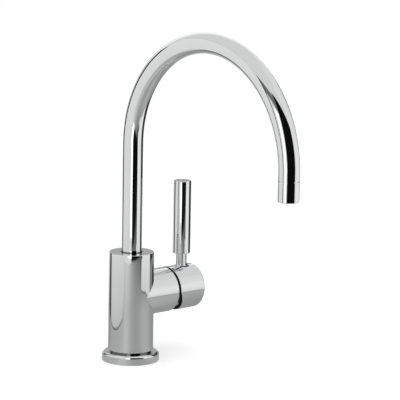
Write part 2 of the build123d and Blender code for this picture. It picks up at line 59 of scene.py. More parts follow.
# %% [markdown]
# ## Sizes from the frame
# A piece fits only if its sizes come from the part that it dresses. The box of each node gives
# its radii and ends, and the joints give the barrel's axis and the lever's tilt. Only small
# details that no box shows, such as edge roundings, are typed here.

# %% Sizes of the body, the spout and the lever


def ends(node):
    """Lowest and highest corner of a node as two arrays."""
    low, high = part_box(node)
    return np.array(low), np.array(high)


joints = {joint["name"]: joint for joint in frame["joints"]}
tilt_limit = math.radians(joints["flow_tilt"]["range_deg"][1])
barrel_height = joints["temperature_turn"]["pos_m"][2]

flange_radius, _, flange_height = ends("base_flange")[1]
flange_edge = 3.2 * mm

barrel_reach, body_radius, body_height = ends("mixer_body")[1]
spigot_lift = ends("mixer_body")[0][2]
body_edge = 0.7 * mm
barrel_edge = 0.5 * mm
foot_groove_height = 2.2 * mm
foot_groove_depth = 2.0 * mm
spigot_radius = 19.6 * mm

tube_radius, _, tube_top = ends("spout_tube")[1]
tube_foot = ends("spout_tube")[0][2]
tube_wall = 1.2 * mm
tube_bore = tube_radius - tube_wall
sleeve_low, sleeve_high = ends("outlet_sleeve")
spout_reach = -(sleeve_low[1] + sleeve_high[1]) / 2
arch_radius = spout_reach / 2
arch_spring = tube_top - arch_radius - tube_radius
print("body radius", round(body_radius, 4), "reach", round(spout_reach, 4), "spring", round(arch_spring, 4))

# %% [markdown]
# ## Surfaces from arrays
# Every new piece is a set of patches. A patch is a grid of points, worked out from two
# parameters as whole arrays, with the surface's exact normal at each point. Chrome shows the
# smallest error in a normal as a kink in a reflection, so the normals come from the formulas and
# not from the facets. Points that patches share are welded, and each corner of a face keeps its
# own patch's normal, so an edge stays crisp and a tangent join stays smooth.

# %% Weld patches into one mesh
weld_step = 1e-7
around = 192
full_turn = 2 * math.pi


def circle(angle, first=0, second=1):
    """Unit circle in the plane of two axes: cos a along the first and sin a along the second."""
    points = np.zeros((*np.shape(angle), 3))
    points[..., first] = np.cos(angle)
    points[..., second] = np.sin(angle)
    return points


def unit(vectors):
    """Vectors of length 1."""
    return vectors / np.linalg.norm(vectors, axis=-1, keepdims=True)


def patch_faces(points, normals, keep=...):
    """Four-cornered faces of one grid, turned to face along the normals. keep says which cells stay."""
    rows, columns = points.shape[:2]
    index = np.arange(rows * columns).reshape(rows, columns)
    quads = np.stack([index[:-1, :-1], index[1:, :-1], index[1:, 1:], index[:-1, 1:]], axis=-1)
    quads = quads[keep].reshape(-1, 4)
    flat = points.reshape(-1, 3)
    first, second, third, fourth = (flat[quads[:, corner]] for corner in range(4))
    faced = np.cross(third - first, fourth - second)
    agreement = np.einsum("ij,ij->", faced, normals.reshape(-1, 3)[quads[:, 0]])
    return quads if agreement > 0 else quads[:, ::-1]


def join_patches(name, patches):
    """Mesh object of all patches. Equal points are welded, and a face that a pole shrinks loses its
    spare corners."""
    points = np.concatenate([patch[0].reshape(-1, 3) for patch in patches])
    normals = np.concatenate([patch[1].reshape(-1, 3) for patch in patches])
    faces = []
    start = 0
    for patch in patches:
        faces.append(start + patch_faces(*patch))
        start += patch[0].size // 3
    faces = np.concatenate(faces)
    cells = np.round(points / weld_step).astype(np.int64)
    _, first, welded = np.unique(cells, axis=0, return_index=True, return_inverse=True)
    corners = welded.reshape(-1)[faces]
    used = corners != np.roll(corners, 1, axis=1)
    used &= (used.sum(axis=1) > 2)[:, None]
    counts = used.sum(axis=1)
    loops = corners[used]
    cuts = np.cumsum(counts[counts > 0])[:-1]
    mesh = bpy.data.meshes.new(name)
    mesh.from_pydata(points[first].tolist(), [], [face.tolist() for face in np.split(loops, cuts)])
    mesh.polygons.foreach_set("use_smooth", np.ones(len(mesh.polygons), bool))
    mesh.normals_split_custom_set(normals[faces[used]].tolist())
    mesh.update()
    piece = bpy.data.objects.new(name, mesh)
    scene.collection.objects.link(piece)
    print(name, "faces", len(mesh.polygons))
    return piece


# %% [markdown]
# ## Turned forms
# Most of a tap comes off a lathe. An outline is walked with the metal on the left hand, so the
# normal always points to the right, and each straight run or rounding of it is a stroke. A
# stroke turned about the axis is a patch.

# %% Strokes and turning
arc_steps = 10


def strokes(outline, closed=True):
    """Runs of an outline of (radius, height, rounding) corners. A rounding of size s starts and
    ends at s / tan(half the corner's angle) from the corner, on a circle that touches both runs."""
    places = np.array([corner[:2] for corner in outline], float)
    count = len(places)
    entries = places.copy()
    exits = places.copy()
    made = []
    for index in range(count):
        size = outline[index][2] if len(outline[index]) > 2 else 0
        if size:
            back = unit(places[index - 1] - places[index])
            ahead = unit(places[(index + 1) % count] - places[index])
            half = math.acos(np.clip(back @ ahead, -1, 1)) / 2
            entries[index] = places[index] + back * size / math.tan(half)
            exits[index] = places[index] + ahead * size / math.tan(half)
            middle = places[index] + unit(back + ahead) * size / math.sin(half)
            turn = math.copysign(math.pi - 2 * half, ahead[0] * back[1] - ahead[1] * back[0])
            turning = circle(np.linspace(0, turn, arc_steps + 1))[:, :2]
            spoke = (entries[index] - middle) / size
            spokes = spoke[0] * turning + spoke[1] * turning[:, ::-1] * (-1, 1)
            made.append((middle + spokes * size, spokes * math.copysign(1, turn)))
    last = count if closed else count - 1
    for index in range(last):
        start, end = exits[index], entries[(index + 1) % count]
        run = end - start
        if np.linalg.norm(run) > weld_step:
            normal = unit(np.array([run[1], -run[0]]))
            made.append((np.stack([start, end]), np.stack([normal, normal])))
    return made


def turned(stroke):
    """Turns a stroke about Z: (r, h) goes to (r cos a, r sin a, h) for a round the full turn."""
    angle = np.linspace(0, full_turn, around + 1)
    angle[-1] = 0
    grids = []
    for pairs in stroke:
        grid = pairs[:, :1, None] * circle(angle)
        grid[..., 2] = pairs[:, 1:]
        grids.append(grid)
    return grids


def turned_patches(outline, closed=True):
    """Patches of a whole turned outline."""
    return [turned(stroke) for stroke in strokes(outline, closed)]


def shifted(patches, by):
    """The same patches at another place."""
    return [(patch[0] + by, *patch[1:]) for patch in patches]


def along_barrel(patches):
    """Lays patches turned about Z along the barrel: (x, y, z) goes to (z, x, y + barrel height)."""
    laid = [(patch[0][..., [2, 0, 1]], patch[1][..., [2, 0, 1]], *patch[2:]) for patch in patches]
    return shifted(laid, (0, 0, barrel_height))


# %% [markdown]
# ## Finishes as expressions
# A finish is a small network of shader nodes. Written as Python sums it can be read like a
# formula: one class wraps an output socket and turns + - * / into Math nodes, and one method
# adds any other node with its inputs and settings.

# %% Shader bench


class Wire:
    """An output socket. Arithmetic on it adds Math nodes, with numbers on either side."""

    def __init__(self, bench, socket):
        self.bench = bench
        self.socket = socket

    def math(self, operation, *values):
        """A Math node of any operation."""
        return self.bench.add("ShaderNodeMath", dict(enumerate(values)), operation=operation)

    def __add__(self, other):
        return self.math("ADD", self, other)

    def __radd__(self, other):
        return self.math("ADD", other, self)

    def __sub__(self, other):
        return self.math("SUBTRACT", self, other)

    def __rsub__(self, other):
        return self.math("SUBTRACT", other, self)

    def __mul__(self, other):
        return self.math("MULTIPLY", self, other)

    def __rmul__(self, other):
        return self.math("MULTIPLY", other, self)

    def __truediv__(self, other):
        return self.math("DIVIDE", self, other)


class Bench:
    """The node tree of one material or world."""

    def __init__(self, owner):
        owner.use_nodes = True
        self.tree = owner.node_tree
        self.tree.nodes.clear()

    def add(self, kind, inputs=None, output=0, **settings):
        """Adds a node with its inputs and its settings, such as an operation or a ramp's stops."""
        node = self.tree.nodes.new(kind)
        for name, value in settings.items():
            if name == "stops":
                elements = node.color_ramp.elements
                while len(elements) < len(value):
                    elements.new(1)
                for element, (position, level) in zip(elements, value):
                    element.position = position
                    element.color = (level, level, level, 1)
            else:
                setattr(node, name, value)
        for name, value in (inputs or {}).items():
            if isinstance(value, Wire):
                self.tree.links.new(value.socket, node.inputs[name])
            else:
                node.inputs[name].default_value = value
        return Wire(self, node.outputs[output])

    def place(self):
        """The piece's own coordinates, in metres."""
        return self.add("ShaderNodeTexCoord", output="Object")

    def vector(self, operation, *values):
        """Vector arithmetic. A length and a dot product are numbers, and the rest are vectors."""
        output = "Value" if operation in ("LENGTH", "DOT_PRODUCT") else 0
        return self.add("ShaderNodeVectorMath", dict(enumerate(values)), output, operation=operation)

    def noise(self, size, detail, place):
        """Soft noise between 0 and 1 whose blotches are about size across, in metres."""
        return self.add("ShaderNodeTexNoise", {"Vector": place, "Scale": 1 / size, "Detail": detail}, "Fac")

    def ramp(self, value, stops):
        """Grey ramp through (position, level) stops."""
        return self.add("ShaderNodeValToRGB", {"Fac": value}, stops=stops)

    def blend(self, factor, first, second):
        """Colour that goes from first to second as the factor goes from 0 to 1."""
        return self.add("ShaderNodeMix", {"Factor": factor, 6: first, 7: second}, 2, data_type="RGBA")

    def bump(self, height, distance):
        """Bent normals for a height between 0 and 1 that stands for distance, in metres."""
        return self.add("ShaderNodeBump", {"Height": height, "Distance": distance}, "Normal")

    def finish(self, shader, kind="ShaderNodeOutputMaterial"):
        """Joins the last shader to the output."""
        node = self.tree.nodes.new(kind)
        self.tree.links.new(shader.socket, node.inputs["Surface"])


# %% [markdown]
# ## Flange, sleeve, stem, grip and cap
# These are plain turned pieces. Each outline follows the real one: the flange has a round
# shoulder and a groove for its gasket, the sleeve a neck that goes into the tube, the stem a
# flared foot, and the grip slightly broken edges and a blind socket for the stem.

# %% Plain turned pieces
chrome_pieces = []


def chrome_piece(name, body, replaced, patches):
    """A finished chrome piece that rides on a body and stands for a node."""
    piece = join_patches(name, patches)
    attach(piece, body)
    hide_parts(replaced)
    chrome_pieces.append(piece)


def turned_piece(name, body, replaced, outline, place=(0, 0, 0)):
    """A chrome piece that is turned about the upright line through a place."""
    chrome_piece(name, body, replaced, shifted(turned_patches(outline), place))


running_gap = 0.06 * mm
gasket_radius, _, gasket_top = ends("base_gasket")[1]
gasket_width = 4.6 * mm
flange_outline = [
    (spigot_radius + running_gap, 0),
    (gasket_radius - gasket_width, 0),
    (gasket_radius - gasket_width, gasket_top),
    (gasket_radius, gasket_top),
    (gasket_radius, 0),
    (flange_radius, 0),
    (flange_radius, flange_height, flange_edge),
    (spigot_radius + running_gap, flange_height),
]
turned_piece("flange_chrome", "base", "base_flange", flange_outline)

aerator_radius = ends("aerator_body")[1][0]
seal_top = ends("aerator_seal")[1][2]
sleeve_length = 20.9 * mm
sleeve_top = sleeve_low[2] + sleeve_length
neck_bore = 7.0 * mm
mouth_edge = 0.6 * mm
sleeve_outline = [
    (aerator_radius + mouth_edge, sleeve_low[2]),
    (tube_radius - mouth_edge, sleeve_low[2]),
    (tube_radius, sleeve_low[2] + mouth_edge),
    (tube_radius, sleeve_top),
    (tube_bore - running_gap, sleeve_top),
    (tube_bore - running_gap, sleeve_high[2]),
    (neck_bore, sleeve_high[2]),
    (neck_bore, seal_top),
    (aerator_radius, seal_top),
    (aerator_radius, sleeve_low[2] + mouth_edge),
]
turned_piece("outlet_chrome", "spout", "outlet_sleeve", sleeve_outline, (0, -spout_reach, 0))

grip_low, grip_high = ends("lever_grip")
stem_low, stem_high = ends("lever_stem")
lever_at = (stem_low[0] + stem_high[0]) / 2
stem_radius = 5.9 * mm
stem_foot_radius = stem_high[1]
stem_foot_height = 0.8 * mm
stem_foot_fillet = 1.3 * mm
seat_gap = 0.3 * mm
seat_radius = stem_foot_radius + seat_gap
seat_height = barrel_height + math.sqrt(body_radius**2 - seat_radius**2)
thread_radius = 4.0 * mm
collar_top = seat_height + stem_foot_height
stem_outline = [
    (0, stem_low[2]),
    (thread_radius, stem_low[2]),
    (thread_radius, seat_height),
    (stem_foot_radius, seat_height),
    (stem_foot_radius, collar_top),
    (stem_radius, collar_top, stem_foot_fillet),
    (stem_radius, stem_high[2]),
    (0, stem_high[2]),
]
lever_place = (lever_at, 0, 0)
turned_piece("stem_chrome", "lever", "lever_stem", stem_outline, lever_place)

grip_radius = grip_high[1]
grip_edge = 0.7 * mm
grip_outline = [
    (stem_radius, grip_low[2]),
    (grip_radius, grip_low[2], grip_edge),
    (grip_radius, grip_high[2], grip_edge),
    (0, grip_high[2]),
    (0, stem_high[2]),
    (stem_radius, stem_high[2]),
]
turned_piece("grip_chrome", "lever", "lever_grip", grip_outline, lever_place)

cap_low, cap_high = ends("screw_cap")
cap_at = (cap_low[0] + cap_high[0]) / 2
cap_radius = cap_high[1]
cap_edge = 0.25 * mm
cap_outline = [
    (0, cap_low[2]),
    (cap_radius, cap_low[2], cap_edge),
    (cap_radius, cap_high[2]),
    (0, cap_high[2]),
]
turned_piece("cap_chrome", "lever", "screw_cap", cap_outline, (cap_at, 0, 0))

# %% [markdown]
# ## The spout tube
# The swan neck is one tube: an upright column, half a circle of 120 mm radius, and a short
# drop. A circle is carried along that path. The path's frame is known exactly everywhere:
# one arm of the frame is always the X axis and the other points away from the bend's centre,
# so no twist can creep in.

# %% Circle carried along the path
outer_steps = 256
inner_steps = 96


def spout_wall(radius, steps, outward=1):
    """Wall of the tube: centre + radius (cos v X + sin v N), with N = (0, cos s, sin s) at the angle s
    round the bend."""
    away = circle(np.linspace(0, math.pi, steps + 1), 1, 2)
    centre = arch_radius * away + np.array([0, -arch_radius, arch_spring])
    foot = centre[:1] + np.array([[0, 0, tube_foot - arch_spring]])
    mouth = centre[-1:] + np.array([[0, 0, tube_end - arch_spring]])
    centre = np.concatenate([foot, centre, mouth])
    away = np.concatenate([away[:1], away, away[-1:]])
    angle = np.linspace(0, full_turn, around + 1)[:, None]
    angle[-1] = 0
    across = np.array([1.0, 0, 0])
    spokes = np.cos(angle) * across + np.sin(angle) * away[:, None, :]
    return centre[:, None, :] + radius * spokes, outward * spokes


def flat_ring(outer_row, inner_row, normal):
    """Flat patch between two rows of points."""
    points = np.stack([outer_row, inner_row])
    return points, np.broadcast_to(normal, points.shape)


joint_gap = 0.8 * mm
tube_end = sleeve_top + joint_gap
outer_wall = spout_wall(tube_radius, outer_steps)
inner_wall = spout_wall(tube_bore, inner_steps, -1)
tube_patches = [
    outer_wall,
    inner_wall,
    flat_ring(outer_wall[0][0], inner_wall[0][0], (0, 0, -1)),
    flat_ring(outer_wall[0][-1], inner_wall[0][-1], (0, 0, -1)),
]
chrome_piece("tube_chrome", "spout", "spout_tube", tube_patches)

# %% [markdown]
# ## Holes in curved walls
# The body and the hub have round holes in round walls: for the stop screw, the lever's stem and
# the screw cap, and the inlets in the underside. A hole is let into the wall's own grid. A
# window of whole cells is left out, and a ring of faces joins its edge to the hole's rim. The
# ring is worked out in the wall's own two parameters, so every point of it lies on the wall.

# %% Windows with round holes
ring_steps = 6


def spread(start, end, count):
    """Rows that go evenly from the row start to the row end."""
    share = np.linspace(0, 1, count + 1)[:, None]
    return start * (1 - share) + end * share


def window_edge(values, hole):
    """Values once round the edge of a hole's window of the grid, back to the first."""
    low, high = hole["rows"]
    left, right = hole["columns"]
    sides = [values[low, left:right], values[low:high, right], values[high, right:left:-1]]
    return np.concatenate([*sides, values[high:low:-1, left], values[low, left : left + 1]])


def pierced(wall, first, second, holes):
    """Grid of a wall with round holes. wall(a, b) gives points and normals. Each hole is a dict:
    rows and columns of its window, centre and radius in the plane of the two drill axes,
    and onto(u, v), the wall's parameters under a point of that plane. Ring point = rim (1 - t) + edge t."""
    points, normals = wall(first, second)
    keep = np.ones((points.shape[0] - 1, points.shape[1] - 1), bool)
    patches = []
    rims = []
    for hole in holes:
        (low, high), (left, right) = hole["rows"], hole["columns"]
        keep[low:high, left:right] = False
        edge_first = window_edge(first, hole)
        edge_second = window_edge(second, hole)
        edge = window_edge(points, hole)
        plane = edge[:, list(hole["axes"])] - hole["centre"]
        angle = np.arctan2(plane[:, 1], plane[:, 0])
        rim = hole["centre"] + hole["radius"] * circle(angle)[:, :2]
        rim_first, rim_second = hole["onto"](rim[:, 0], rim[:, 1])
        ring = wall(spread(rim_first, edge_first, ring_steps), spread(rim_second, edge_second, ring_steps))
        ring[0][-1] = edge
        patches.append(ring)
        rims.append((ring[0][0], angle))
    return [(points, normals, keep), *patches], rims


def stepped_hole(rim, angle, hole, depth_axis, steps):
    """Inside of a stepped round hole: each step is (radius, floor). A wall goes straight from the
    last edge to the floor, a flat ring leads on to the next radius, and the last floor ends in a pole."""
    outward = circle(angle, *hole["axes"])
    middle = np.zeros(3)
    middle[list(hole["axes"])] = hole["centre"]
    patches = []
    edge = rim
    for number, (radius, floor) in enumerate(steps):
        middle[depth_axis] = floor
        bottom = middle + outward * radius
        patches.append((np.stack([edge, bottom]), np.stack([-outward, -outward])))
        facing = np.zeros(3)
        facing[depth_axis] = np.sign(rim[0, depth_axis] - floor)
        following = steps[number + 1][0] if number + 1 < len(steps) else 0
        edge = middle + outward * following
        patches.append(flat_ring(bottom, edge, facing))
    return patches


# %% [markdown]
# ## The body
# The body is one casting: a column and a side barrel of the same diameter. Two equal
# cylinders that cross at right angles meet in two flat ellipses, so the crease is known without
# any cutting: on the column it runs at a height of R cos a above and below the barrel's axis,
# and on the barrel at a reach of R |sin b|. Both grids end on that line, point on point.

# %% Column and barrel
turn_angle = np.linspace(0, full_turn, around + 1)
wall_rows = 24
barrel_rows = 16


def wall_grid(start, end, count=wall_rows):
    """Grid of a wall: the way along it, from the row start to the row end, and the angle round it."""
    rows = spread(start, end, count)
    return rows, np.broadcast_to(turn_angle, rows.shape)


def column_wall(height, angle):
    """Column: (r cos a, r sin a, h) with r = R - drop t squared, where t runs from 0 to 1 over the
    part of the column's top that the buffing wheel has rounded off."""
    share = np.maximum(height - buffed_from, 0) / (column_top - buffed_from)
    radius = body_radius - buffed_drop * share**2
    spokes = circle(angle)
    points = spokes * radius[..., None]
    points[..., 2] = height
    slope = 2 * buffed_drop * share / (column_top - buffed_from)
    spokes[..., 2] = slope
    return points, spokes / np.sqrt(1 + slope**2)[..., None]


def barrel_wall(station, angle):
    """Barrel and hub: (x, R cos b, barrel height + R sin b)."""
    spokes = circle(angle, 1, 2)
    points = spokes * body_radius
    points[..., 0] = station
    points[..., 2] += barrel_height
    return points, spokes


body_foot = flange_height + foot_groove_height
neck_radius = body_radius - foot_groove_depth
column_top = body_height - body_edge
buffed_height = 6.3 * mm
buffed_from = column_top - buffed_height
buffed_drop = 0.1 * mm
top_radius = body_radius - buffed_drop
barrel_rise = body_radius * np.maximum(np.cos(turn_angle), 0)
screw_low, screw_high = ends("swivel_stop_screw")
stop_screw_hole = {
    "rows": (14, 19),
    "columns": (43, 53),
    "axes": (0, 2),
    "centre": (0, (screw_low[2] + screw_high[2]) / 2),
    "radius": screw_high[0],
    "onto": lambda u, v: (v, np.arccos(u / body_radius)),
}
upper = wall_grid(barrel_height + barrel_rise, column_top)
body_patches, rims = pierced(column_wall, *upper, [stop_screw_hole])
screw_depth = 6 * mm
screw_steps = [(stop_screw_hole["radius"], screw_high[1] - screw_depth)]
body_patches += stepped_hole(*rims[0], stop_screw_hole, 1, screw_steps)
body_patches.append(column_wall(*wall_grid(body_foot, barrel_height - barrel_rise)))
crease_reach = body_radius * np.abs(np.sin(turn_angle))
body_patches.append(barrel_wall(*wall_grid(crease_reach, barrel_reach - barrel_edge, barrel_rows)))

# %% [markdown]
# The spout stands in a socket in the column's top, with a recess for the split glide ring, and the
# cartridge lies in the bore of the barrel. Both are turned outlines that carry on from the
# edges of the two walls.

# %% Socket, cartridge bore and foot
glide_low, glide_high = ends("glide_ring")
nut_low, nut_high = ends("cartridge_nut")
washer_seat = ends("thrust_washer")[0][2]
port_floor = ends("port_seals")[0][0]
socket_gap = 0.35 * mm
socket_radius = tube_radius + socket_gap
washer_ledge = 2.1 * mm
chamber_radius = socket_radius - washer_ledge
chamber_depth = 4 * mm
chamber_floor = washer_seat - chamber_depth
cartridge_gap = 0.3 * mm
cartridge_bore = ends("cartridge_housing")[1][1] + cartridge_gap
thread_relief = 1 * mm
socket_outline = [
    (top_radius, column_top),
    (top_radius, body_height, body_edge),
    (socket_radius, body_height),
    (socket_radius, glide_high[2]),
    (glide_high[0] + running_gap, glide_high[2]),
    (glide_high[0] + running_gap, glide_low[2]),
    (socket_radius, glide_low[2]),
    (socket_radius, washer_seat),
    (chamber_radius, washer_seat),
    (chamber_radius, chamber_floor),
    (0, chamber_floor),
]
bore_outline = [
    (body_radius, barrel_reach - barrel_edge),
    (body_radius, barrel_reach, barrel_edge),
    (nut_high[1], barrel_reach),
    (nut_high[1], nut_low[0] - thread_relief),
    (cartridge_bore, nut_low[0] - thread_relief),
    (cartridge_bore, port_floor),
    (0, port_floor),
]
foot_outline = [
    (spigot_radius, spigot_lift),
    (spigot_radius, flange_height),
    (neck_radius, flange_height),
    (neck_radius, body_foot),
    (body_radius, body_foot),
]
body_patches += turned_patches(socket_outline, closed=False)
body_patches += along_barrel(turned_patches(bore_outline, closed=False))
body_patches += turned_patches(foot_outline, closed=False)

# %% [markdown]
# ## Threads in the underside
# Two M10 by 1 hoses and one M8 stud screw into the underside. The engineering model has plain
# holes of the tapping size. Here the thread is cut into their walls: the radius swells and
# shrinks with height / pitch - angle / full turn, which is a helix.

# %% Underside with threaded holes
rows_per_turn = 10


def grid_normals(points, outward):
    """Normals of a grid: the cross product of its two directions, turned to agree with outward."""
    along = np.gradient(points, axis=0)
    across = np.gradient(points, axis=1)
    across[:, 0] = across[:, -1] = points[:, 1] - points[:, -2]
    normal = unit(np.cross(along, across))
    return normal * np.sign(np.sum(normal * outward, axis=-1, keepdims=True))


def threaded_wall(rim, angle, hole, depth, pitch, cut):
    """Threaded bore: radius r + cut (1 - cos(2 pi h / pitch - a)) / 2, faded in and out over one pitch."""
    rows = int(round(depth / pitch)) * rows_per_turn
    rise = np.linspace(0, depth, rows + 1)[:, None]
    fade = np.clip(np.minimum(rise, depth - rise) / pitch, 0, 1)
    radius = hole["radius"] + cut * fade * (1 - np.cos(full_turn * rise / pitch - angle)) / 2
    spokes = circle(angle)
    points = radius[..., None] * spokes
    points[..., :2] += hole["centre"]
    points[..., 2] = spigot_lift + rise
    points[0] = rim
    return points, grid_normals(points, -spokes)


def underside(radius, angle):
    """Flat underside: (r cos a, r sin a, lift)."""
    points = radius[..., None] * circle(angle)
    points[..., 2] = spigot_lift
    return points, np.broadcast_to((0, 0, -1), points.shape)


def from_plane(u, v):
    """Polar radius and angle of a point of the underside."""
    return np.hypot(u, v), np.mod(np.arctan2(v, u), full_turn)


mounts = {mount["name"]: mount for mount in frame["record"]["mounts"]}
channel_radius = 3.2 * mm
channel_rise = 4.2 * mm


def underside_hole(mount, rows, columns):
    """Window of a threaded mount in the underside, with its place and radius from the record."""
    return {
        "rows": rows,
        "columns": columns,
        "axes": (0, 1),
        "centre": tuple(mounts[mount]["pos_m"][:2]),
        "radius": mounts[mount]["dims"]["r_mm"] * mm,
        "onto": from_plane,
    }


threads = [
    ("back_inlet", (4, 16), (16, 57), 1.0 * mm, 0.5 * mm),
    ("front_inlet", (4, 16), (135, 176), 1.0 * mm, 0.5 * mm),
    ("fixing_stud_hole", (12, 21), (86, 106), 1.25 * mm, 0.6 * mm),
]
under_holes = [underside_hole(*thread[:3]) for thread in threads]
flat_grid = wall_grid(np.zeros(around + 1), spigot_radius)
under_patches, rims = pierced(underside, *flat_grid, under_holes)
body_patches += under_patches
for (mount, _, _, pitch, cut), hole, (rim, angle) in zip(threads, under_holes, rims):
    depth = mounts[mount]["dims"]["length_mm"] * mm
    wall = threaded_wall(rim, angle, hole, depth, pitch, cut)
    body_patches.append(wall)
    steps = [(hole["radius"], spigot_lift + depth)]
    if mount.endswith("inlet"):
        steps.append((channel_radius, barrel_height + channel_rise))
    body_patches += stepped_hole(wall[0][-1], angle, hole, 2, steps)
chrome_piece("body_chrome", "base", "mixer_body", body_patches)

# %% [markdown]
# ## The lever hub
# The hub looks like the barrel's end, but it is a hollow cap that tilts. Its rim is square to the
# axis above and bevelled below, by the angle that it tilts through, so that it closes on the
# barrel like a jaw. A recess in the rim holds a rubber ring. The stem stands in a flat on top.

# %% Hub with a bevelled rim
hub_low, hub_high = ends("lever_hub")
spindle_end, spindle_half, _ = ends("spindle")[1]
hub_edge = 1.4 * mm
hub_wall = 4.1 * mm
hub_cavity = body_radius - hub_wall
cavity_depth = 8.5 * mm
cavity_end = hub_low[0] + cavity_depth
rim_edge = 0.25 * mm
ring_inset = 0.45 * mm
rim_recess = body_radius - ring_inset
rim_ring_thickness = 0.8 * mm
spindle_end_gap = 1 * mm
socket_end = spindle_end + spindle_end_gap


def rim_station(radius):
    """Where the rim lies along the barrel at each angle: rim + tan(tilt) times the depth below the axis."""
    return hub_low[0] + np.maximum(0, -np.sin(turn_angle)) * radius * math.tan(tilt_limit)


def ring_row(radius, station):
    """Row of points round the barrel's axis."""
    points = np.reshape(radius, (-1, 1)) * circle(turn_angle, 1, 2)
    points[:, 0] = station
    points[:, 2] += barrel_height
    return points


stem_window = {
    "rows": (9, 22),
    "columns": (36, 60),
    "axes": (0, 1),
    "centre": (lever_at, 0),
    "radius": seat_radius,
    "onto": lambda u, v: (u, np.arccos(v / body_radius)),
}
cap_window = {
    "rows": (0, 9),
    "columns": (138, 150),
    "axes": (0, 1),
    "centre": (cap_at, 0),
    "radius": cap_radius,
    "onto": lambda u, v: (u, full_turn - np.arccos(v / body_radius)),
}


bevel_normal = np.array([-math.cos(tilt_limit), 0, -math.sin(tilt_limit)])
square_normal = np.array([-1.0, 0, 0])
sine = np.round(np.sin(turn_angle), 9)[:, None]
rim_normal = unit((sine >= 0) * square_normal + (sine <= 0) * bevel_normal)
radial = ring_row(1, 0) - [0, 0, barrel_height]
depth_below = -(body_radius - rim_edge) * sine[:, 0]
ball_station = np.maximum(rim_edge, rim_edge / math.cos(tilt_limit) + depth_below * math.tan(tilt_limit))
ball_row = ring_row(body_radius - rim_edge, hub_low[0] + ball_station)
corner = np.arccos(np.einsum("ij,ij->i", radial, rim_normal))[:, None]
share = np.linspace(0, 1, arc_steps + 1)[:, None, None]
rim_round = (np.sin((1 - share) * corner) * radial + np.sin(share * corner) * rim_normal) / np.sin(corner)
hub_grid = wall_grid(hub_low[0] + ball_station, hub_high[0] - hub_edge)
hub_patches, rims = pierced(barrel_wall, *hub_grid, [stem_window, cap_window])
stem_steps = [(seat_radius, seat_height), (thread_radius, stem_low[2])]
hub_patches += stepped_hole(*rims[0], stem_window, 2, stem_steps)
screw_radius = 2.1 * mm
cap_steps = [(cap_radius, cap_high[2]), (screw_radius, barrel_height - spindle_half - running_gap)]
hub_patches += stepped_hole(*rims[1], cap_window, 2, cap_steps)
end_outline = [
    (body_radius, hub_high[0] - hub_edge),
    (body_radius, hub_high[0], hub_edge),
    (0, hub_high[0]),
]
hub_patches += along_barrel(turned_patches(end_outline, closed=False))
rim_corner = ball_row + rim_edge * rim_round
hub_patches.append((rim_corner, rim_round))
lip_row = ring_row(rim_recess, rim_station(rim_recess))
recess_row = lip_row + np.array([rim_ring_thickness, 0, 0])
inner_rim = ring_row(hub_cavity, rim_station(hub_cavity) + rim_ring_thickness)
quarter = around // 4
half = 2 * quarter
for part, facing in ((slice(0, half + 1), square_normal), (slice(half, None), bevel_normal)):
    hub_patches.append(flat_ring(rim_corner[-1][part], lip_row[part], facing))
    hub_patches.append(flat_ring(recess_row[part], inner_rim[part], facing))
cavity_row = ring_row(hub_cavity, cavity_end)
for rows in ((lip_row, recess_row), (inner_rim, cavity_row)):
    hub_patches.append((np.stack(rows), np.stack([-radial, -radial])))
square = spindle_half / np.maximum(np.abs(np.cos(turn_angle)), np.abs(np.sin(turn_angle)))
square_mouth = ring_row(square, cavity_end)
square_floor = ring_row(square, socket_end)
hub_patches.append(flat_ring(cavity_row, square_mouth, (-1, 0, 0)))
for side in range(4):
    columns = (np.arange(quarter + 1) + quarter // 2 + side * quarter) % around
    facing = -np.round(radial[(side + 1) * quarter % around])
    hub_patches.append(flat_ring(square_mouth[columns], square_floor[columns], facing))
hub_patches.append(flat_ring(square_floor, ring_row(0, socket_end), (-1, 0, 0)))
chrome_piece("hub_chrome", "lever", "lever_hub", hub_patches)

# %% [markdown]
# ## Polished chrome
# Chrome is a thin, hard, slightly blue-grey mirror. It reflects about eight tenths of the light,
# and what tells a real plated surface from a perfect one is small: faint smudges that blur the
# reflection, fine wiping marks, a few dried drops near the foot and the slight waviness that the
# buffing wheel leaves. Three crevices get painted shade, a darker base colour where shade falls.
# All lie in the piece's own coordinates, so they stay put when a joint moves.

# %% Chrome
chrome_light = (0.83, 0.835, 0.84, 1)
chrome_dull = (0.775, 0.78, 0.785, 1)
# Painted shade: a dark base colour for three crevices where shade falls, the groove at the foot, the socket's
# mouth and the seam round the stem's foot.
crevice_shade_colour = (0.03, 0.03, 0.03, 1)
groove_shade = 0.85
mouth_shade = 0.7
seam_shade = 0.85
crevice_margin = 1.3 * mm
mouth_depth = 0.3 * mm
mouth_rise = 1.2 * mm


def new_material(name):
    """Empty material and its bench."""
    material = bpy.data.materials.new(name)
    return material, Bench(material)


def height_of(bench, place):
    """Height of a point above the worktop."""
    return bench.add("ShaderNodeSeparateXYZ", {"Vector": place}, "Z")


def within(bench, value, low, high):
    """1 where a length lies between two limits, with soft ends of 0.15 mm."""
    soft = 0.15 * mm
    rising = bench.ramp((value - low) / soft + 0.5, [(0, 0), (1, 1)])
    return rising * bench.ramp((value - high) / soft + 0.5, [(0, 1), (1, 0)])


def from_line(bench, place, axis=2):
    """How far a place lies from the line through the origin along one axis, Z unless another is named."""
    across = [0 if number == axis else 1 for number in range(3)]
    return bench.vector("LENGTH", bench.vector("MULTIPLY", place, across))


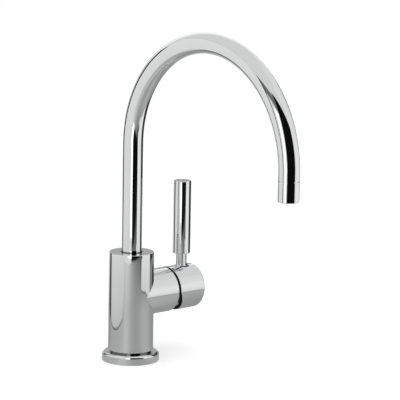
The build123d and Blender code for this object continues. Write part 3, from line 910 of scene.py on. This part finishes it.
def chrome():
    """Mirror with a roughness of 0.02 + 0.035 smudges + 0.02 drops near the foot + 0.01 wiping marks,
    and painted shade, a darker base colour, in three crevices: the groove at the foot, the socket's mouth
    and the seam round the stem's foot."""
    material, bench = new_material("polished_chrome")
    place = bench.place()
    smudges = bench.ramp(bench.noise(28 * mm, 5, place), [(0.45, 0), (0.75, 1)])
    marks = bench.noise(0.35 * mm, 2, place)
    drops = bench.ramp(bench.noise(3.2 * mm, 1, place), [(0.66, 0), (0.70, 1)])
    height = height_of(bench, place)
    near_foot = bench.ramp(height / (80 * mm), [(0, 1), (1, 0)])
    drop_mask = drops * near_foot
    roughness = 0.02 + 0.035 * smudges + 0.02 * drop_mask + 0.01 * marks
    waves = bench.noise(9 * mm, 1, place)
    from_axis = from_line(bench, place)
    in_groove = within(bench, height, flange_height, body_foot)
    in_groove = in_groove * within(bench, from_axis, 0, neck_radius + 0.1 * mm)
    at_mouth = within(bench, height, body_height - mouth_depth, body_height + mouth_rise)
    at_mouth = at_mouth * within(bench, from_axis, 0, socket_radius + crevice_margin)
    from_stem = from_line(bench, bench.vector("SUBTRACT", place, lever_place))
    at_seam = within(bench, from_stem, stem_foot_radius - seat_gap, seat_radius + crevice_margin)
    at_seam = at_seam * within(bench, height, barrel_height, collar_top)
    # Painted shade in the three crevices, mixed into the base colour below.
    crevice_shade = in_groove * groove_shade + at_mouth * mouth_shade + at_seam * seam_shade
    shine = bench.blend(smudges * 0.5 + drop_mask * 0.5, chrome_light, chrome_dull)
    inputs = {
        "Metallic": 1,
        "Base Color": bench.blend(crevice_shade, shine, crevice_shade_colour),
        "Roughness": roughness,
        "Normal": bench.bump(waves, 0.004 * mm),
    }
    bench.finish(bench.add("ShaderNodeBsdfPrincipled", inputs))
    return material


chrome_finish = chrome()
for piece in chrome_pieces:
    piece.data.materials.append(chrome_finish)
print("chrome on", len(chrome_pieces), "pieces")

# %% [markdown]
# ## Rubber, plastics and ceramic
# The seals are matt black rubber with a fine grain and a grey bloom. Acetal is milky and
# slightly glossy, with flow marks. The grey cartridge shell and the pale aerator grid are
# moulded, with a spark-eroded grain. The discs are lapped alumina, cream and almost polished.
# One recipe serves them all, because they differ only in colour, gloss and grain.

# %% Moulded and ceramic parts


def moulded(name, colour, shade, gloss, blotch, grain, relief, sheen):
    """Soft material. The colour goes to shade over blotches, the roughness lies to either side of gloss, the
    grain stands up by relief, and sheen is how much its surface mirrors. Lengths are in millimetres."""
    material, bench = new_material(name)
    place = bench.place()
    patches = bench.noise(blotch * mm, 4, place)
    fine = bench.noise(grain * mm, 3, place)
    inputs = {
        "Base Color": bench.blend(patches * 0.7 + fine * 0.3, (*colour, 1), (*shade, 1)),
        "Roughness": gloss - 0.06 + 0.12 * fine,
        "Specular IOR Level": sheen,
        "Normal": bench.bump(fine, relief * mm),
    }
    bench.finish(bench.add("ShaderNodeBsdfPrincipled", inputs))
    return material


recipes = {
    "black_rubber": ((0.008, 0.008, 0.008), (0.02, 0.02, 0.021), 0.75, 6, 0.3, 0.03, 0.12),
    "white_acetal": ((0.84, 0.84, 0.81), (0.76, 0.755, 0.72), 0.38, 7, 0.4, 0.008, 0.5),
    "grey_plastic": ((0.3, 0.31, 0.32), (0.23, 0.235, 0.245), 0.48, 8, 0.25, 0.02, 0.5),
    "pale_plastic": ((0.72, 0.72, 0.7), (0.64, 0.64, 0.61), 0.3, 4, 0.3, 0.008, 0.5),
    "disc_ceramic": ((0.86, 0.84, 0.79), (0.79, 0.765, 0.71), 0.16, 5, 0.12, 0.001, 0.5),
}
finishes = {slot: moulded(slot, *recipe) for slot, recipe in recipes.items()}
finishes["chrome_shell"] = chrome_finish
print("moulded", sorted(recipes))

# %% [markdown]
# ## Turned brass and steel
# A turned part carries the rings that the tool left. They are noise in two coordinates only,
# the way along the part's own axis and the distance from it, so the pattern runs in circles on
# the side and on the end face. Each part gets its own copy, because its axis lies elsewhere.

# %% Turned metals


def turned_metal(name, node, axis, colour, stain, gloss):
    """Metal with tool rings: fine noise of (way along the axis, distance from it)."""
    material, bench = new_material(name)
    low, high = ends(node)
    place = bench.vector("SUBTRACT", bench.place(), ((low + high) / 2).tolist())
    way = bench.add("ShaderNodeSeparateXYZ", {"Vector": place}, "XYZ"[axis])
    ring_place = bench.add("ShaderNodeCombineXYZ", {"X": way, "Y": from_line(bench, place, axis)})
    rings = bench.noise(0.22 * mm, 2, ring_place)
    stains = bench.noise(3.5 * mm, 4, place)
    inputs = {
        "Metallic": 1,
        "Base Color": bench.blend(stains * 0.6 + rings * 0.4, (*colour, 1), (*stain, 1)),
        "Roughness": gloss + 0.12 * stains + 0.08 * rings,
        "Normal": bench.bump(rings, 0.01 * mm),
    }
    bench.finish(bench.add("ShaderNodeBsdfPrincipled", inputs))
    return material


brass_colours = ((0.78, 0.6, 0.3), (0.5, 0.34, 0.14))
# Painted shade: the cartridge nut's brass is much darker than the other brass, for the shade it lies in deep in
# the barrel, where it shows through the gap at the hub.
nut_shaded_brass = ((0.2, 0.15, 0.08), (0.08, 0.06, 0.035))
steel_colours = ((0.62, 0.62, 0.62), (0.42, 0.415, 0.41))
turned_nodes = {
    "spout_foot": (2, brass_colours, 0.22),
    "cartridge_nut": (0, nut_shaded_brass, 0.3),
    "swivel_stop_screw": (1, steel_colours, 0.25),
    "pivot_pin": (1, steel_colours, 0.18),
    "spindle": (0, steel_colours, 0.2),
    "hub_screw": (2, steel_colours, 0.28),
}
turned_finishes = {
    node: turned_metal(f"turned_{node}", node, axis, *colours, gloss)
    for node, (axis, colours, gloss) in turned_nodes.items()
}

# %% [markdown]
# Every node of the engineering model, shown or replaced, gets its finish by the material slot
# that the record names for it.

# %% Finish every node
for part in frame["record"]["subparts"]:
    node = frame["nodes"][part["node"]]
    finish = turned_finishes.get(part["node"]) or finishes[part["material_slot"]]
    for place in node.material_slots:
        place.material = finish
    print(part["node"], finish.name, len(node.material_slots))

# %% [markdown]
# ## Camera
# The viewpoint was found by fitting the tap's outline to the photograph. The camera stands two
# and a half metres away, on the tap's left front, ten degrees above it, with a long lens, so
# there is little perspective.

# %% Camera at the photograph's viewing angle
view_azimuth = math.radians(-42.3558)
view_elevation = math.radians(10.1406)
view_roll = math.radians(0.9919)
view_distance = 2503.19 * mm
view_shift_right = 73.1 * mm
view_height = 178.0 * mm
picture_width = 400
focal_pixels = 2316.61

level = np.array([math.cos(view_azimuth), math.sin(view_azimuth), 0])
near = np.array([math.sin(view_azimuth), -math.cos(view_azimuth), 0])
back = near * math.cos(view_elevation) + np.array([0, 0, math.sin(view_elevation)])
upright = np.cross(back, level)
right = level * math.cos(view_roll) + upright * math.sin(view_roll)
above = upright * math.cos(view_roll) - level * math.sin(view_roll)
eye = level * view_shift_right + np.array([0, 0, view_height]) + back * view_distance
placing = np.eye(4)
placing[:3] = np.column_stack([right, above, back, eye])

camera = bpy.data.objects.new("camera", bpy.data.cameras.new("camera"))
scene.collection.objects.link(camera)
camera.data.sensor_width = 36
camera.data.lens = focal_pixels * camera.data.sensor_width / picture_width
camera.matrix_world = Matrix(placing.tolist())
scene.camera = camera
print("camera at", np.round(eye, 3), "lens", round(camera.data.lens, 1), "mm")

# %% [markdown]
# ## The studio
# Polished metal looks like what stands round it. The photograph's reflections tell where
# things stood: bright paper close by on the left, white walls on the right, a dark opening in
# front on the right with a light strip beside it, and dark edges between the sheets that draw
# the thin lines along the silhouettes. The world gives the tent, and flat cards what is near
# enough for its reflection to shift along the tube. Only mirror rays see the cards, so they
# neither show nor throw shadows.

# %% World


def paper(bench, level):
    """Plain light of one grey level, a number or a wire."""
    return bench.add("ShaderNodeEmission", {"Strength": level})


tent_level = 0.74
behind_level = 1.04
soft_level = 0.76
world = bpy.data.worlds.new("studio")
scene.world = world
bench = Bench(world)
direction = bench.add("ShaderNodeTexCoord", output="Generated")
low_down = bench.ramp(height_of(bench, direction), [(0.48, 1), (0.6, 0)])
facing_back = bench.vector("DOT_PRODUCT", direction, (-near).tolist())
behind = bench.ramp(facing_back, [(0.72, 0), (0.8, 1)]) * low_down
tent = tent_level + (behind_level - tent_level) * behind
mirror_ray = bench.add("ShaderNodeLightPath", output="Is Glossy Ray")
seen_ray = bench.add("ShaderNodeLightPath", output="Is Camera Ray")
strength = soft_level + (tent - soft_level) * mirror_ray
strength = strength + (1 - strength) * seen_ray
background = bench.add("ShaderNodeBackground", {"Color": (1, 1, 1, 1), "Strength": strength})
bench.finish(background, "ShaderNodeOutputWorld")
print("tent", tent_level, "behind it", behind_level, "soft light", soft_level)

# %% [markdown]
# The floor is white paper. Mirror rays see it greyer and with the tent's shade on it. The shade
# goes by the bearing of a place from the tap, 0 towards the camera and positive to the right,
# and by its distance, as the undersides and the foot of the tap show it in the photograph.

# %% Floor


def sheet_object(name, corners):
    """Flat quad of a room, out of four corners."""
    mesh = bpy.data.meshes.new(name)
    mesh.from_pydata([list(corner) for corner in corners], [], [(0, 1, 2, 3)])
    sheet = bpy.data.objects.new(name, mesh)
    scene.collection.objects.link(sheet)
    return sheet


floor_half = 20
floor_level = -0.1 * mm
floor_signs = ((-1, -1), (1, -1), (1, 1), (-1, 1))
floor = sheet_object("floor", [(x * floor_half, y * floor_half, floor_level) for x, y in floor_signs])
near_shades = [
    (-140, 0.33), (-125, 0.34), (-110, 0.42), (-90, 0.43), (-70, 0.45), (-50, 0.47), (-33, 0.5),
    (-28, 0.57), (-20, 0.56), (-12, 0.52), (-5, 0.48), (0, 0.43), (10, 0.39), (20, 0.37),
    (30, 0.37), (40, 0.39), (50, 0.42), (60, 0.455), (75, 0.46), (90, 0.45), (100, 0.41),
    (112, 0.36), (125, 0.33),
]
far_shades = [
    (-130, 0.7), (-34, 0.7), (-33, 0.62), (-25, 0.7), (-20, 0.69), (-12, 0.63), (-5, 0.56), (0, 0.48),
    (5, 0.42), (10, 0.36), (17, 0.29), (25, 0.24), (35, 0.2), (41, 0.17), (46, 0.12), (52, 0.09),
    (100, 0.09), (110, 0.25), (150, 0.25), (170, 0.7),
]
ruler = 1000 * mm
opening_shade = 0.01
material, bench = new_material("white_paper")
place = bench.place()
rightward = bench.vector("DOT_PRODUCT", place, level.tolist())
nearward = bench.vector("DOT_PRODUCT", place, near.tolist())
apart = bench.vector("LENGTH", place) / ruler
bearing = rightward.math("ARCTAN2", rightward, nearward) / full_turn + 0.5


def by_bearing(stops):
    """Ramp over the bearing, from stops of (degrees, level)."""
    return bench.ramp(bearing, [(degrees / 360 + 0.5, shade) for degrees, shade in stops])


near_shade = by_bearing(near_shades)
far_shade = by_bearing(far_shades)
near_end = 0.28
far_start = 0.6
shade = near_shade + (far_shade - near_shade) * bench.ramp(apart, [(near_end, 0), (far_start, 1)])
in_front = bench.ramp(nearward / ruler, [(0.54, 0), (0.65, 1)]) * bench.ramp(bearing, [(0.49, 0), (0.495, 1)])
shade = shade + (opening_shade - shade) * in_front
paper_white = 0.93
whitening = 0.3
white = bench.add("ShaderNodeBsdfDiffuse", {"Color": (paper_white, paper_white, paper_white, 1)})
glow = paper(bench, bench.add("ShaderNodeLightPath", output="Is Camera Ray") * whitening)
lifted = bench.add("ShaderNodeAddShader", {0: white, 1: glow})
mirror_ray = bench.add("ShaderNodeLightPath", output="Is Glossy Ray")
bench.finish(bench.add("ShaderNodeMixShader", {0: mirror_ray, 1: lifted, 2: paper(bench, shade)}))
floor.data.materials.append(material)
print("floor shades at", len(near_shades), "bearings near the tap and", len(far_shades), "far from it")

# %% [markdown]
# Each card is even across and changes only up its height, so it draws one stripe down the tube.

# %% Cards


def card(name, start, end, levels):
    """Upright card seen by mirror rays only. start and end are (to the right, towards the camera) of the
    tap, and levels go up the card as (height, grey level), all lengths in millimetres."""
    low, high = levels[0][0], levels[-1][0]
    foot = [level * way[0] * mm + near * way[1] * mm for way in (start, end)]
    rise = np.array([0, 0, high]) * mm
    base = np.array([0, 0, low]) * mm
    corners = [foot[0] + base, foot[1] + base, foot[1] + rise, foot[0] + rise]
    sheet = sheet_object(name, corners)
    sheet.visible_camera = False
    sheet.visible_diffuse = False
    sheet.visible_shadow = False
    sheet.visible_transmission = False
    material, bench = new_material(name)
    stops = [(height * mm / ruler, shade) for height, shade in levels]
    bench.finish(paper(bench, bench.ramp(height_of(bench, bench.place()) / ruler, stops)))
    sheet.data.materials.append(material)
    print(name, "from", low, "to", high, "mm")


near_wall = [(0, 0.02), (2.4, 0.02), (2.5, 0.58), (28, 0.65), (81, 0.74), (109, 0.79), (485, 0.84)]
near_wall += [(500, 0.66), (520, 0.66)]
far_left = ((8, 570), (-700, 420))
card("left_wall_back", (-184, -82), (-150, 180), near_wall)
card("left_wall_front", (-150, 180), (-205, 330), near_wall)
card("left_post", (-184, -82), (-197, -205), [(0, 0.09), (100, 0.09), (130, 0.01), (430, 0.01)])
card("left_wall_end", (-200, 325), (-245, 395), [(0, 0.02), (545, 0.02)])
card("left_tent_wall", *far_left, [(0, 0.78), (525, 0.78)])
card("left_dark_band", *far_left, [(525, 0.17), (700, 0.17)])
card("dark_opening", (-100, 900), (1900, 900), [(0, 0.004), (1150, 0.004)])
right_foot = [(0, 0.03), (2.5, 0.03), (2.6, 0.72)]
right_front = right_foot + [(35, 0.8), (105, 0.95), (250, 0.95), (330, 0.84), (1000, 0.8)]
right_rear = right_foot + [(70, 0.88), (150, 0.9), (190, 0.83), (290, 0.79), (1000, 0.79)]
card("right_wall_low", (306, 237), (332, 184), right_foot + [(35, 0.8), (55, 0.84)])
card("right_wall_front", (332, 184), (362, 90), right_front)
card("right_wall_rear", (362, 90), (333, -92), right_rear)
card("right_far_wall", (535, 342), (535, 100), [(0, 0.85), (1000, 0.85)])
card("right_dark_sheet", (333, -92), (300, -420), [(0, 0.25), (36, 0.25), (46, 0.03), (210, 0.03)])
card("light_strip", (-145, 456), (4, 456), [(48, 1.6), (445, 1.6)])
card("right_back", (571, -185), (155, -580), [(0, 0.25), (150, 0.25), (151, 0.02), (450, 0.02)])
card("behind_low", (-700, -900), (500, -900), [(150, 0.42), (480, 0.42)])

# %% [markdown]
# A large soft lamp overhead adds a gentle shadow under the tap and some shape on the plastic
# and rubber parts.

# %% Soft lamp
lamp_data = bpy.data.lights.new("soft_lamp", "AREA")
lamp_data.size = 1.5
lamp_data.energy = 8
lamp = bpy.data.objects.new("soft_lamp", lamp_data)
lamp.location = (-0.3, -0.6, 2.2)
lamp.rotation_euler = (0.26, -0.13, 0)
lamp.visible_camera = False
lamp.visible_glossy = False
scene.collection.objects.link(lamp)
scene.view_settings.view_transform = "Standard"
